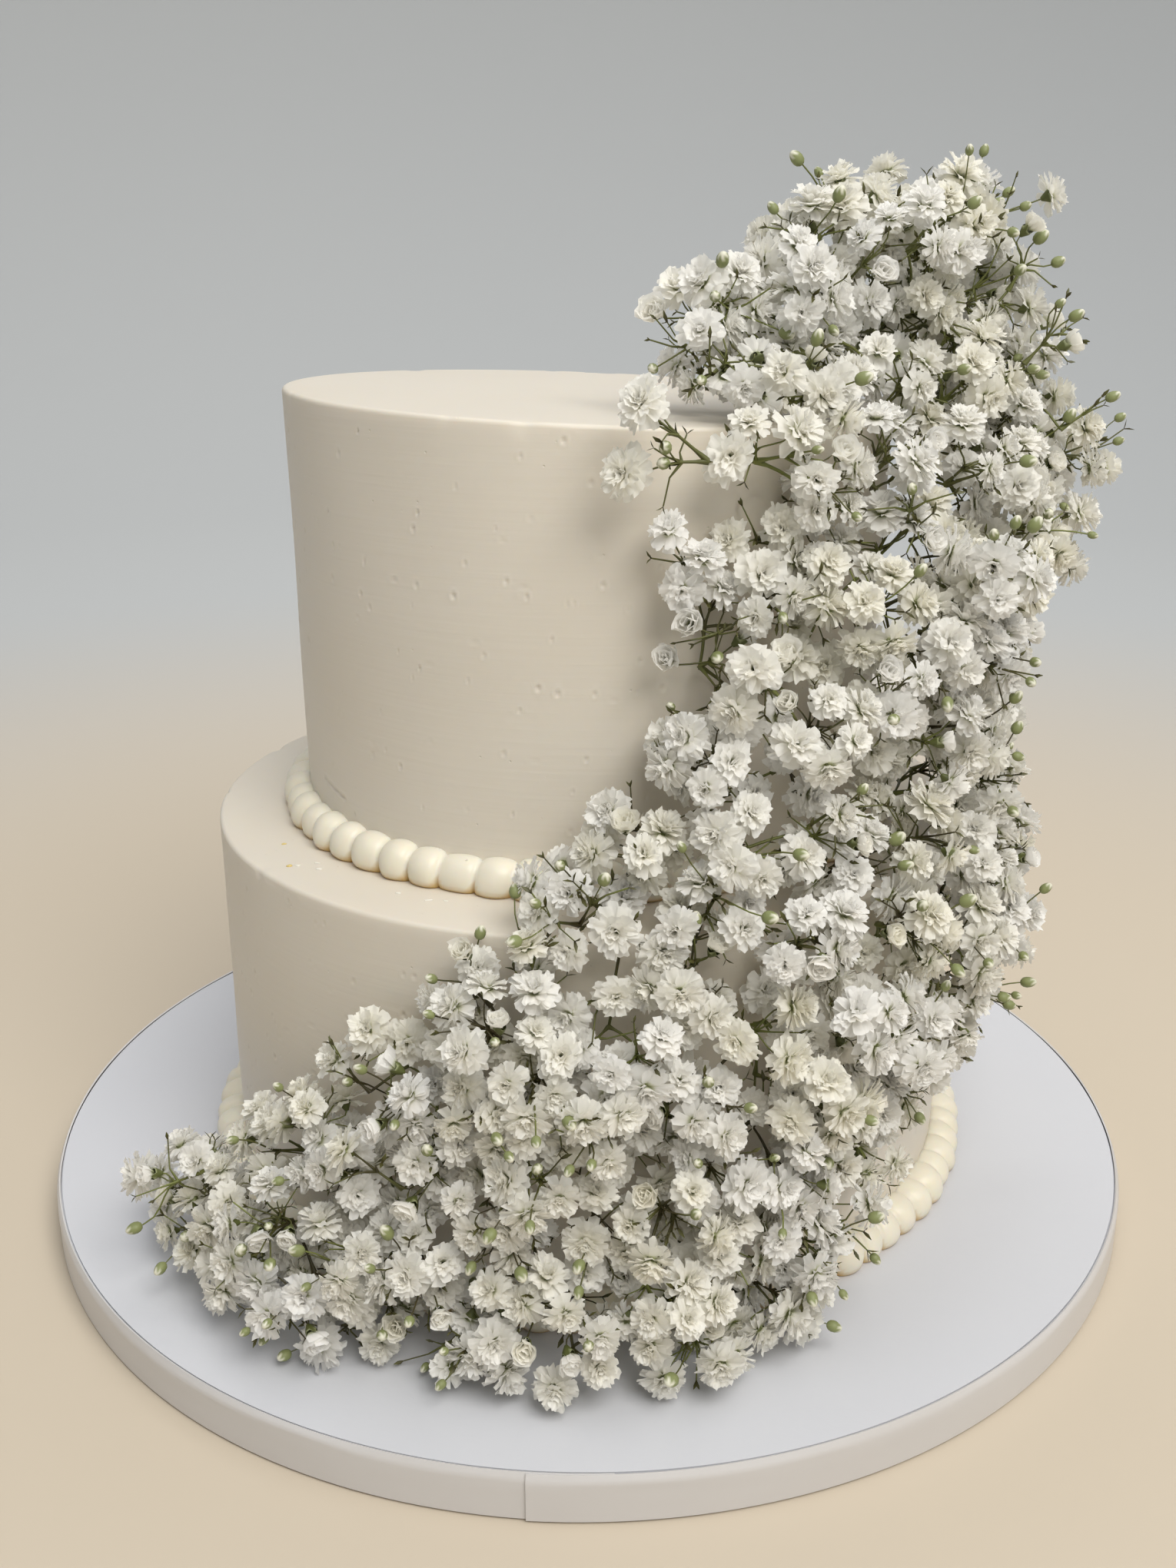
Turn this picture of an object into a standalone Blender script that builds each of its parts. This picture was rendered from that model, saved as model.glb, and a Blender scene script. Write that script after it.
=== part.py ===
"""A two-tier buttercream wedding cake on its round drum board, with a cascade of double baby's breath.

Metres, +Z up. The origin is the centre of the board's underside, and the front of the cake faces -Y.
Azimuths are degrees from the front, growing to the right.
"""

import random
from math import cos, hypot, pi, radians, sin, sqrt

import bmesh
import bpy
from mathutils import Matrix, Vector

MM = 0.001
FIT_GAP = 0.3 * MM  # clear space between pieces that touch
ROUND_SIDES = 64  # sides of each large round piece
ROOM_SIDES = 24  # sides of the space that the flowers keep clear
TURN = 2 * pi

# A 12 inch drum board, with a paper band glued round its edge
BOARD_RADIUS = 152.0 * MM
BOARD_HEIGHT = 12.0 * MM
BAND_THICKNESS = 0.5 * MM
BAND_FLOOR_GAP = 0.6 * MM  # the band ends this far above the table
BAND_LIP = 0.3 * MM  # and stands this far above the board's top

# The 8 inch and 6 inch tiers. The upper one flares a little, and its top falls to the right
LOWER_RADIUS = 101.0 * MM
LEDGE_HEIGHT = 111.0 * MM
UPPER_FOOT_RADIUS = 76.4 * MM
UPPER_RIM_RADIUS = 77.4 * MM
TOP_HEIGHT = 218.5 * MM
TOP_SLOPE = 0.038
RIM_ROUNDING = 0.8 * MM

# Piped pearls round the foot of each tier: how many, how far they stand out, and how high
LOWER_PEARLS = 81
LOWER_PEARL_DEPTH = 9.6 * MM
LOWER_PEARL_HEIGHT = 9.2 * MM
UPPER_PEARLS = 56
UPPER_PEARL_DEPTH = 8.4 * MM
UPPER_PEARL_HEIGHT = 9.2 * MM
PEARL_SEGMENTS = 3
PEARL_CREASE = 0.64  # a pearl's size in the crease to its neighbour, as a share of its full size
PEARL_UNEVENNESS = 0.12  # how much the pearls differ in width and size

# The cascade is set out in rows, from the board up. Each has its height, the azimuth of its left and
# right end, their distance from the cake's axis, and the reach of the flowers round that line (mm)
CASCADE_ROWS = [
    (27, (-56, 19), (126, 124), (16, 15)),
    (51, (-39, 43), (119, 111), (18, 17)),
    (76, (-22, 60), (117, 107), (18, 18)),
    (97, (-13, 74), (113, 107), (18, 18)),
    (122, (1, 80), (102, 102), (18, 19)),
    (140, (12, 77), (96, 98), (17, 19)),
    (162, (22, 81), (93, 102), (17, 20)),
    (186, (21, 87), (91, 107), (18, 24)),
    (212, (30, 92), (74, 108), (19, 28)),
    (235, (44, 98), (52, 98), (22, 25)),
    (254, (58, 90), (60, 94), (21, 22)),
]
# Each bunch of the cascade, from this height up to the next one's
SPRAYS = [
    ("spray_foot", 0),
    ("spray_front", 64),
    ("spray_ledge", 109),
    ("spray_shoulder", 150),
    ("spray_crown", 200),
]
SPRAY_TOP = 400 * MM
CORE_DEPTH = 3.0 * MM  # the leafy core ends this far inside the flowers' reach
CORE_SIDES = 14
CORE_LUMPS = 2.0 * MM
CAP_RISE, CAP_SHARE = 0.72, 0.62  # the core's rounded ends, as shares of its end row's reach

# A bloom's width, the least distance to the next one, and its segments from crown to stalk
BLOOM_PASSES = [(14.5 * MM, 18.5 * MM, 3), (12.5 * MM, 14.3 * MM, 2)]
BLOOM_SIDES = 5
BLOOM_CROWN, BLOOM_SHOULDER, BLOOM_RIM = 0.34, 0.2, -0.02  # heights over its middle, as shares of its width
BLOOM_STALK = 0.45  # how far its green cup tapers down into the core
BLOOM_LIFT = 0.16  # its middle is this share of its width above the core
BLOOM_CLEAR = 6.5 * MM  # and stays this far from icing and board
BLOOM_FACING = -0.3  # beside a tier none faces the icing more than this (-1 is straight at it)
BLOOM_TRIES = 9000
SEED = 7


def start_empty():
    for thing in list(bpy.data.objects):
        bpy.data.objects.remove(thing, do_unlink=True)


def make_material(name, colour, roughness, metallic=0.0):
    """A plain Principled material. The colour is linear."""
    material = bpy.data.materials.new(name)
    material.use_nodes = True
    shader = material.node_tree.nodes["Principled BSDF"]
    shader.inputs["Base Color"].default_value = (*colour, 1.0)
    shader.inputs["Roughness"].default_value = roughness
    shader.inputs["Metallic"].default_value = metallic
    material.diffuse_color = (*colour, 1.0)
    return material


def add_object(name, bm, material=None):
    """Turns a bmesh into an object in the scene, with its faces pointing out."""
    bmesh.ops.recalc_face_normals(bm, faces=bm.faces)
    mesh = bpy.data.meshes.new(name)
    bm.to_mesh(mesh)
    bm.free()
    thing = bpy.data.objects.new(name, mesh)
    bpy.context.scene.collection.objects.link(thing)
    if material is not None:
        mesh.materials.append(material)
    return thing


def spin_profile(points, steps):
    """A bmesh of a closed outline of (radius, height) points, turned round the cake's axis."""
    bm = bmesh.new()
    corners = [bm.verts.new((0, -radius, height)) for radius, height in points]
    edges = [bm.edges.new((a, b)) for a, b in zip(corners, corners[1:] + corners[:1])]
    bmesh.ops.spin(
        bm, geom=corners + edges, cent=(0, 0, 0), axis=(0, 0, 1), angle=TURN, steps=steps, use_merge=True
    )
    bmesh.ops.remove_doubles(bm, verts=bm.verts, dist=0.01 * MM)
    return bm


def tier(name, foot_radius, rim_radius, foot, top, slope, material):
    """A tier of cake under its icing: a drum with a crisp rim, solid all through."""
    bm = bmesh.new()
    bmesh.ops.create_cone(
        bm, cap_ends=True, segments=ROUND_SIDES, radius1=foot_radius, radius2=rim_radius, depth=top - foot
    )
    bmesh.ops.translate(bm, verts=bm.verts, vec=(0, 0, (foot + top) / 2))
    rim = [v for v in bm.verts if v.co.z > (foot + top) / 2]
    for vertex in rim:
        vertex.co.z -= slope * vertex.co.x
    rim_edges = [e for e in bm.edges if e.verts[0] in rim and e.verts[1] in rim]
    bmesh.ops.bevel(
        bm, geom=rim_edges, offset=RIM_ROUNDING, offset_type="OFFSET", affect="EDGES", segments=1,
        profile=0.5, material=-1,
    )
    return add_object(name, bm, material)


def board(material):
    bm = bmesh.new()
    bmesh.ops.create_cone(
        bm, cap_ends=True, segments=ROUND_SIDES, radius1=BOARD_RADIUS, radius2=BOARD_RADIUS,
        depth=BOARD_HEIGHT,
    )
    bmesh.ops.translate(bm, verts=bm.verts, vec=(0, 0, BOARD_HEIGHT / 2))
    return add_object("board", bm, material)


def board_band(material):
    inner = BOARD_RADIUS + FIT_GAP
    outer = inner + BAND_THICKNESS
    low, high = BAND_FLOOR_GAP, BOARD_HEIGHT + BAND_LIP
    bm = spin_profile([(inner, low), (outer, low), (outer, high), (inner, high)], ROUND_SIDES)
    return add_object("board_band", bm, material)


def pearl_border(name, tier_radius, floor_height, count, depth, height, material):
    """A ring of piped pearls that run into each other, as one body.

    A rounded section is turned round the tier, then swells in the middle of each pearl.
    """
    inner = tier_radius + FIT_GAP
    foot = floor_height + FIT_GAP
    section = [(0.0, 0.0), (0.78, 0.0), (1.0, 0.42), (0.72, 0.88), (0.0, 1.0)]
    points = [(inner + share * depth, foot + rise * height) for share, rise in section]
    steps = count * PEARL_SEGMENTS
    bm = spin_profile(points, steps)

    rng = random.Random(SEED + count)
    shifts = [rng.uniform(-0.5, 0.5) * PEARL_UNEVENNESS for _ in range(count)]
    sizes = [1 - rng.random() * PEARL_UNEVENNESS for _ in range(count)]
    for vertex in bm.verts:
        angle = Vector((vertex.co.x, vertex.co.y)).angle_signed(Vector((0, -1)), 0.0) % TURN
        pearl, part = divmod(round(angle / TURN * steps) % steps, PEARL_SEGMENTS)
        share = part / PEARL_SEGMENTS
        swell = PEARL_CREASE + (sizes[pearl] - PEARL_CREASE) * sqrt(sin(share * pi))
        turn = (shifts[pearl] * (1 - share) + shifts[(pearl + 1) % count] * share) * TURN / count
        radius = hypot(vertex.co.x, vertex.co.y)
        out = inner + (radius - inner) * swell
        rise = foot + (vertex.co.z - foot) * swell
        around = Vector((vertex.co.x, vertex.co.y)).normalized()
        around.rotate(Matrix.Rotation(turn, 2))
        vertex.co = (around.x * out, around.y * out, rise)
    return add_object(name, bm, material)


def top_at(x):
    """Height of the cake's top, which falls to the right."""
    return TOP_HEIGHT - TOP_SLOPE * x


def in_cake(place, margin):
    """True where a point is less than margin outside the cake or its board."""
    radius = hypot(place.x, place.y)
    if place.z < BOARD_HEIGHT + margin:
        return True
    if place.z < LEDGE_HEIGHT + margin and radius < LOWER_RADIUS + margin:
        return True
    return place.z < top_at(place.x) + margin and radius < UPPER_RIM_RADIUS + margin


def core_section(row, rng):
    """One level outline round a row of the cascade: an oval bent round the cake's axis."""
    height, azimuths, distances, reaches = row
    for side in range(CORE_SIDES):
        phase = TURN * side / CORE_SIDES
        share = 0.5 + 0.5 * sin(phase)
        azimuth, distance, reach = (
            first + (last - first) * share for first, last in (azimuths, distances, reaches)
        )
        angle = radians(azimuth)
        outward = Vector((sin(angle), -cos(angle), 0))
        along = Vector((cos(angle), sin(angle), 0))
        size = reach * MM - CORE_DEPTH + rng.uniform(-1, 1) * CORE_LUMPS
        middle = outward * distance * MM + Vector((0, 0, height * MM))
        yield middle + (outward * cos(phase) + along * sin(phase)) * size


def end_row(row, up):
    """A smaller row beyond the first or last one, so that the core ends rounded."""
    height, azimuths, distances, reaches = row
    rise = CAP_RISE * min(reaches) * up
    return height + rise, azimuths, distances, [reach * CAP_SHARE for reach in reaches]


def cascade_core():
    """The leafy core under the blooms: a loft through the cascade's rows."""
    rng = random.Random(SEED)
    rows = [end_row(CASCADE_ROWS[0], -1), *CASCADE_ROWS, end_row(CASCADE_ROWS[-1], 1)]
    bm = bmesh.new()
    loops = []
    for row in rows:
        ring = [bm.verts.new(place) for place in core_section(row, rng)]
        loops.append([bm.edges.new(pair) for pair in zip(ring, ring[1:] + ring[:1])])
    for below, above in zip(loops, loops[1:]):
        bmesh.ops.bridge_loops(bm, edges=below + above)
    bmesh.ops.holes_fill(bm, edges=bm.edges, sides=0)
    bmesh.ops.triangulate(bm, faces=bm.faces)
    bmesh.ops.recalc_face_normals(bm, faces=bm.faces)
    return bm


def bloom_places(core):
    """(middle, outward direction, width, segments) of each bloom, largest first and evenly spread."""
    rng = random.Random(SEED)
    faces = list(core.faces)
    areas = [face.calc_area() for face in faces]
    tries = []
    for face in rng.choices(faces, weights=areas, k=BLOOM_TRIES):
        first, second, third = (vertex.co for vertex in face.verts)
        across, down = rng.random(), rng.random()
        if across + down > 1:
            across, down = 1 - across, 1 - down
        tries.append((first + (second - first) * across + (third - first) * down, face.normal.copy()))
    places = []
    for width, spacing, segments in BLOOM_PASSES:
        for spot, direction in tries:
            place = spot + direction * width * BLOOM_LIFT
            outward = Vector((place.x, place.y, 0)).normalized()
            behind = place.z < TOP_HEIGHT and direction.dot(outward) < BLOOM_FACING
            if behind or in_cake(place, BLOOM_CLEAR):
                continue
            if all((place - taken).length > spacing for taken, _, _, _ in places):
                places.append((place, direction, width, segments))
    return places


def bloom(index, place, direction, width, segments, rng, material):
    """One double bloom: a low frilly dome over a cup that tapers down to its stalk."""
    bm = bmesh.new()
    bmesh.ops.create_uvsphere(bm, u_segments=BLOOM_SIDES, v_segments=segments, radius=width / 2)
    for vertex in bm.verts:
        flat = hypot(vertex.co.x, vertex.co.y)
        upper = vertex.co.z > 0.1 * MM
        if flat < 0.1 * MM:
            vertex.co.z = width * (BLOOM_CROWN if upper else -BLOOM_STALK)
            continue
        spread = rng.uniform(0.28, 0.36) if upper else rng.uniform(0.46, 0.56)
        vertex.co.x *= width * spread / flat
        vertex.co.y *= width * spread / flat
        vertex.co.z = width * ((BLOOM_SHOULDER if upper else BLOOM_RIM) + rng.uniform(-0.04, 0.04))
    lean = Vector((rng.uniform(-0.25, 0.25), rng.uniform(-0.25, 0.25), rng.uniform(-0.25, 0.25)))
    facing = (direction + lean).normalized().to_track_quat("Z", "Y").to_matrix().to_4x4()
    turned = Matrix.Translation(place) @ facing @ Matrix.Rotation(rng.uniform(0, TURN), 4, "Z")
    bmesh.ops.transform(bm, matrix=turned, verts=bm.verts)
    bmesh.ops.triangulate(bm, faces=bm.faces)
    return add_object(f"bloom_{index}", bm, material)


def gather(name, things):
    collection = bpy.data.collections.new(name)
    bpy.context.scene.collection.children.link(collection)
    for thing in things:
        bpy.context.scene.collection.objects.unlink(thing)
        collection.objects.link(thing)
    return collection


def apply_boolean(thing, operation, other):
    """Applies one Boolean with an object, or with all the objects of a collection."""
    modifier = thing.modifiers.new("Boolean", "BOOLEAN")
    modifier.operation = operation
    modifier.solver = "MANIFOLD"
    if isinstance(other, bpy.types.Collection):
        modifier.operand_type = "COLLECTION"
        modifier.collection = other
    else:
        modifier.object = other
    evaluated = thing.evaluated_get(bpy.context.evaluated_depsgraph_get())
    result = bpy.data.meshes.new_from_object(evaluated)
    thing.modifiers.clear()
    thing.data = result


def remove(things):
    for thing in list(things):
        bpy.data.objects.remove(thing, do_unlink=True)


def keep_largest(thing):
    """Drops the loose scraps that a cut leaves, and keeps the largest body."""
    bm = bmesh.new()
    bm.from_mesh(thing.data)
    left = set(bm.verts)
    bodies = []
    while left:
        edge = [left.pop()]
        body = set(edge)
        while edge:
            vertex = edge.pop()
            for link in vertex.link_edges:
                other = link.other_vert(vertex)
                if other in left:
                    left.remove(other)
                    body.add(other)
                    edge.append(other)
        bodies.append(body)
    bodies.sort(key=len, reverse=True)
    scraps = [vertex for body in bodies[1:] for vertex in body]
    bmesh.ops.delete(bm, geom=scraps, context="VERTS")
    bm.to_mesh(thing.data)
    bm.free()


def cake_room():
    """The space that the cake, its borders and its board take, with the gap round them.

    It has fewer sides than they have, drawn just outside them.
    """
    gap = FIT_GAP * 1.3
    widen = 1 / cos(pi / ROOM_SIDES)
    lower_side, upper_side = LOWER_RADIUS + gap, UPPER_RIM_RADIUS + gap
    lower_pearl, upper_pearl = lower_side + LOWER_PEARL_DEPTH, upper_side + UPPER_PEARL_DEPTH
    points = [
        (BOARD_RADIUS * 1.3, -BOARD_HEIGHT),
        (BOARD_RADIUS * 1.3, BOARD_HEIGHT + gap),
        (lower_pearl, BOARD_HEIGHT + gap),
        (lower_pearl, BOARD_HEIGHT + LOWER_PEARL_HEIGHT + gap),
        (lower_side, BOARD_HEIGHT + LOWER_PEARL_HEIGHT + 2 * gap),
        (lower_side, LEDGE_HEIGHT + gap),
        (upper_pearl, LEDGE_HEIGHT + gap),
        (upper_pearl, LEDGE_HEIGHT + UPPER_PEARL_HEIGHT + gap),
        (upper_side, LEDGE_HEIGHT + UPPER_PEARL_HEIGHT + 2 * gap),
        (upper_side, TOP_HEIGHT + gap),
    ]
    bm = bmesh.new()
    outline = [bm.verts.new((0, -radius * widen, height)) for radius, height in points]
    edges = [bm.edges.new(pair) for pair in zip(outline, outline[1:])]
    bmesh.ops.spin(
        bm, geom=outline + edges, cent=(0, 0, 0), axis=(0, 0, 1), angle=TURN, steps=ROOM_SIDES, use_merge=True
    )
    bmesh.ops.remove_doubles(bm, verts=bm.verts, dist=0.01 * MM)
    for vertex in bm.verts:
        if vertex.co.z > TOP_HEIGHT:
            vertex.co.z -= TOP_SLOPE * vertex.co.x
    bmesh.ops.holes_fill(bm, edges=bm.edges, sides=0)
    bmesh.ops.triangulate(bm, faces=bm.faces)
    return add_object("cake_room", bm)


def layer(low, high):
    """A wide block between two heights, to cut one bunch from the cascade."""
    bm = bmesh.new()
    bmesh.ops.create_cube(bm, size=1.0)
    side = 4 * BOARD_RADIUS
    bmesh.ops.scale(bm, vec=(side, side, high - low), verts=bm.verts)
    bmesh.ops.translate(bm, vec=(0, 0, (low + high) / 2), verts=bm.verts)
    return add_object("layer", bm)


def cascade(material):
    """The bunches of baby's breath, each one body: a leafy core with the blooms fused on."""
    core = cascade_core()
    rng = random.Random(SEED)
    blooms = [bloom(index, *where, rng, material) for index, where in enumerate(bloom_places(core))]
    count = len(blooms)
    whole = add_object("cascade", core, material)
    joined = gather("blooms", blooms)
    apply_boolean(whole, "UNION", joined)
    remove(joined.objects)
    bpy.data.collections.remove(joined)
    room = cake_room()
    apply_boolean(whole, "DIFFERENCE", room)
    remove([room])

    tops = [height * MM for _, height in SPRAYS[1:]] + [SPRAY_TOP]
    for (name, low), high in zip(SPRAYS, tops):
        bunch = bpy.data.objects.new(name, whole.data.copy())
        bpy.context.scene.collection.objects.link(bunch)
        block = layer(low * MM + FIT_GAP / 2, high - FIT_GAP / 2)
        apply_boolean(bunch, "INTERSECT", block)
        remove([block])
        keep_largest(bunch)
        bunch.data.materials.clear()
        bunch.data.materials.append(material)
    remove([whole])
    return count


def shade(thing):
    thing.data.shade_smooth()
    thing.data.set_sharp_from_angle(angle=radians(35))


def build():
    start_empty()
    paper = make_material("board_paper", (0.66, 0.66, 0.70), 0.62)
    band_paper = make_material("band_paper", (0.72, 0.70, 0.69), 0.45)
    icing = make_material("ivory_buttercream", (0.80, 0.72, 0.58), 0.5)
    piping = make_material("piped_buttercream", (0.86, 0.78, 0.60), 0.45)
    flower = make_material("babys_breath", (0.82, 0.82, 0.80), 0.7)

    board(paper)
    board_band(band_paper)
    tier("lower_tier", LOWER_RADIUS, LOWER_RADIUS, BOARD_HEIGHT + FIT_GAP, LEDGE_HEIGHT, 0.0, icing)
    tier(
        "upper_tier", UPPER_FOOT_RADIUS, UPPER_RIM_RADIUS, LEDGE_HEIGHT + FIT_GAP, TOP_HEIGHT, TOP_SLOPE,
        icing,
    )
    pearl_border(
        "lower_border", LOWER_RADIUS, BOARD_HEIGHT, LOWER_PEARLS, LOWER_PEARL_DEPTH, LOWER_PEARL_HEIGHT,
        piping,
    )
    pearl_border(
        "upper_border", UPPER_FOOT_RADIUS, LEDGE_HEIGHT, UPPER_PEARLS, UPPER_PEARL_DEPTH,
        UPPER_PEARL_HEIGHT, piping,
    )
    blooms = cascade(flower)
    for thing in bpy.data.objects:
        shade(thing)
    print(f"{blooms} blooms on the cascade")


build()
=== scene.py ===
import random
from math import atan2, cos, exp, hypot, pi, radians, sin

import bmesh
import bpy
from mathutils import Matrix, Vector, noise
from mathutils.geometry import interpolate_bezier
from mathutils.kdtree import KDTree


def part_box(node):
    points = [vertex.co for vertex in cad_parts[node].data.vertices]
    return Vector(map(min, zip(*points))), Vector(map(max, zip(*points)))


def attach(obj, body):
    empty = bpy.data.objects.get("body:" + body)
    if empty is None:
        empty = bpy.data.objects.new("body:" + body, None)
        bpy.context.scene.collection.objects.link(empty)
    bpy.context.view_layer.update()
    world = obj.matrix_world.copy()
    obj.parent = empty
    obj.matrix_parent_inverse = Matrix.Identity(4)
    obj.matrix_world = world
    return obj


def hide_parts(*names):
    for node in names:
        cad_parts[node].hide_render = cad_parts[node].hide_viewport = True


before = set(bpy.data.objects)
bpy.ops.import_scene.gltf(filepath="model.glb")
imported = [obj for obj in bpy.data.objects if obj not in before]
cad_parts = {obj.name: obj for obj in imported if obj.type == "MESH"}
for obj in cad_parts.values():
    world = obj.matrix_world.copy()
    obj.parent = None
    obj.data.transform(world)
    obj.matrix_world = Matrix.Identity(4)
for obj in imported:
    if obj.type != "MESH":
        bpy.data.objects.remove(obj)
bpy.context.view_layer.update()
noise.seed_set(5)  # or vector noise would start from the clock
print("packed cake loaded")

mm = 0.001
fullTurn = 2 * pi
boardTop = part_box("board")[1].z
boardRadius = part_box("board")[1].x
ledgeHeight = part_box("lower_tier")[1].z
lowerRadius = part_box("lower_tier")[1].x
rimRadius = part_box("upper_tier")[1].x
sprays = ["spray_foot", "spray_front", "spray_ledge", "spray_shoulder", "spray_crown"]


def hexColor(code):  # sRGB hex to the linear colour that shaders take
    channels = [int(code[i:i + 2], 16) / 255 for i in (1, 3, 5)]
    return [c / 12.92 if c <= 0.04045 else ((c + 0.055) / 1.055) ** 2.4 for c in channels] + [1.0]


def newMaterial(name):
    material = bpy.data.materials.new(name)
    material.use_nodes = True
    material.node_tree.nodes.clear()
    return material


def addNode(material, kind, inputs=None, **settings):  # an input is a value, or a socket to link
    node = material.node_tree.nodes.new("ShaderNode" + kind)
    for name, value in settings.items():
        setattr(node, name, value)
    for socket, value in (inputs or {}).items():
        if isinstance(value, bpy.types.NodeSocket):
            material.node_tree.links.new(value, node.inputs[socket])
        else:
            node.inputs[socket].default_value = value
    return node


def cloudedTint(material, place, look, detail):  # the piece's two tints, in soft clouds
    cloud = {"Vector": place, "Scale": 1000 / look["cloudSize"], "Detail": detail}
    share = addNode(material, "TexNoise", cloud).outputs["Fac"]
    tints = {0: share, 6: hexColor(look["color"]), 7: hexColor(look["shadeColor"])}
    return addNode(material, "Mix", tints, data_type="RGBA").outputs[2]


def newShape(*attributes):  # an empty mesh to build in, with these values on its points
    bm = bmesh.new()
    for name in attributes:
        bm.verts.layers.float.new(name)
    return bm


def finishMesh(name, bm):
    mesh = bpy.data.meshes.new(name)
    bm.to_mesh(mesh)
    bm.free()
    return mesh


def addObject(name, data):
    added = bpy.data.objects.new(name, data)
    bpy.context.scene.collection.objects.link(added)
    return added


def addPiece(name, bm, material, replaced=(), sharp=0):  # sharp is the least angle of a sharp edge
    mesh = finishMesh(name, bm)
    mesh.materials.append(material)
    mesh.shade_smooth()
    if sharp:
        mesh.set_sharp_from_angle(angle=radians(sharp))
    piece = addObject(name, mesh)
    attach(piece, "root")
    if replaced:
        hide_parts(*replaced)


def turnProfile(points, steps):  # (radius, height) points turned round the cake's axis
    bm = bmesh.new()
    corners = [bm.verts.new((radius, 0, height)) for radius, height in points]
    edges = [bm.edges.new(pair) for pair in zip(corners, corners[1:])]
    bmesh.ops.spin(
        bm, geom=corners + edges, cent=(0, 0, 0), axis=(0, 0, 1), angle=fullTurn, steps=steps,
        use_merge=True,
    )
    bmesh.ops.remove_doubles(bm, verts=bm.verts, dist=0.01 * mm)
    bmesh.ops.recalc_face_normals(bm, faces=bm.faces)
    return bm


def between(first, last, steps):
    return [first + (last - first) * i / steps for i in range(steps + 1)]


def aroundCake(radius, azimuth, height):
    return Vector((radius * sin(azimuth), -radius * cos(azimuth), height))


def fromAxis(azimuth, distance, height):  # in degrees and mm
    return aroundCake(distance * mm, radians(azimuth), height * mm)


# The board: a card drum under white embossed paper, with a band of satin paper glued round its edge

boardPaper = {
    "color": "#D2D3D7",
    "shadeColor": "#CDCED3",
    "roughness": 0.42,  # embossed paper with a soft sheen
    "grainSize": 2.2,  # mm between the embossed bumps
    "grainDepth": 0.05,  # mm
    "cloudSize": 55.6,  # mm across its faint changes of tint
}
bandPaper = {
    "color": "#D4D2D1",
    "shadeColor": "#CECBC9",
    "roughness": 0.34,  # satin paper ribbon
    "grainSize": 14.0,  # mm between its slow ripples
    "grainDepth": 0.12,  # mm
    "cloudSize": 55.6,
}


def makePaper(name, look):
    material = newMaterial(name)
    place = addNode(material, "TexCoord").outputs["Object"]
    fine = {"Vector": place, "Scale": 1000 / look["grainSize"], "Detail": 3.0}
    grain = addNode(material, "TexNoise", fine).outputs["Fac"]
    bump = addNode(material, "Bump", {"Height": grain, "Distance": look["grainDepth"] * mm})
    color = cloudedTint(material, place, look, 2.0)
    shader = addNode(
        material, "BsdfPrincipled",
        {"Base Color": color, "Roughness": look["roughness"], "Normal": bump.outputs["Normal"]},
    )
    addNode(material, "OutputMaterial", {"Surface": shader.outputs[0]})
    return material


drumBoard = {
    "steps": 240,
    "rings": 24,
    "bandGap": 0.3 * mm,
    "bandThickness": 0.45 * mm,
    "bandFloorGap": 0.6 * mm,
    "bandLip": 0.1 * mm,
    "grooveWidth": 0.4 * mm,  # between the paper on the board and the band's edge
    "grooveDepth": 0.6 * mm,
    "turnIn": 0.7 * mm,  # the band's top edge bends in this far over the board's corner
    "turnInHeight": 1.7 * mm,
    "corner": 0.05 * mm,
    "bandRows": 14,
    "rowBunching": 1.9,  # how closely the band's rows crowd towards its bent edge
    "seam": radians(-4.9),  # azimuth of the band's outer end
    "overlap": radians(7),  # how far that end lies over the other one
    "lapGap": 0.08 * mm,
    "lapShare": 0.07,  # the last part of the band, which lifts over its start
    "waves": 0.12 * mm,
    "waveCount": 9,
    "foldUnevenness": 0.5,
    "foldCount": 6,
    "bendCurve": 1.15,
}


def buildBoard(look):
    low, high = look["bandFloorGap"], boardTop + look["bandLip"]
    edge, floor = boardRadius + look["bandGap"] - look["turnIn"], boardTop - look["grooveDepth"]
    inner = edge - look["grooveWidth"]
    points = [(0, 0), (boardRadius, 0), (boardRadius, floor - look["turnInHeight"])]
    points += [(edge, floor), (inner, floor), (inner, boardTop), (inner - look["corner"], boardTop)]
    points += [(radius, boardTop) for radius in between(inner, 0, look["rings"])[1:]]
    bm, paper = turnProfile(points, look["steps"]), makePaper("embossedBoardPaper", boardPaper)
    addPiece("board_drum", bm, paper, ["board"], sharp=40)

    # The strip starts under its own end, goes round by the left, and comes back over its start at the seam
    bm = bmesh.new()
    bmesh.ops.create_grid(bm, x_segments=look["steps"], y_segments=look["bandRows"], size=1.0)
    for vertex in bm.verts:
        along, rise = (vertex.co.x + 1) / 2, 1 - (1 - (vertex.co.y + 1) / 2) ** look["rowBunching"]
        height = low + (high - low) * rise
        azimuth = look["seam"] + look["overlap"] - (fullTurn + look["overlap"]) * along
        lapped = max(0.0, 1 - (1 - along) / look["lapShare"])
        lap = (look["bandThickness"] + look["lapGap"]) * lapped ** 2
        way = Vector((sin(azimuth), cos(azimuth), 0))
        wave = look["waves"] * noise.noise((way + Vector((0, 0, 0.6 * rise))) * look["waveCount"])
        fold = 1 + look["foldUnevenness"] * noise.noise(way * look["foldCount"])
        bent = max(0.0, 1 - (high - height) / (look["turnInHeight"] * fold))
        bend = look["turnIn"] * bent ** look["bendCurve"]
        vertex.co = aroundCake(boardRadius + look["bandGap"] + lap + wave * rise - bend, azimuth, height)
    bmesh.ops.recalc_face_normals(bm, faces=bm.faces)
    bmesh.ops.solidify(bm, geom=list(bm.faces), thickness=look["bandThickness"])
    bmesh.ops.recalc_face_normals(bm, faces=bm.faces)
    paper = makePaper("satinBandPaper", bandPaper)
    addPiece("board_band_paper", bm, paper, ["board_band"], sharp=50)


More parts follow.
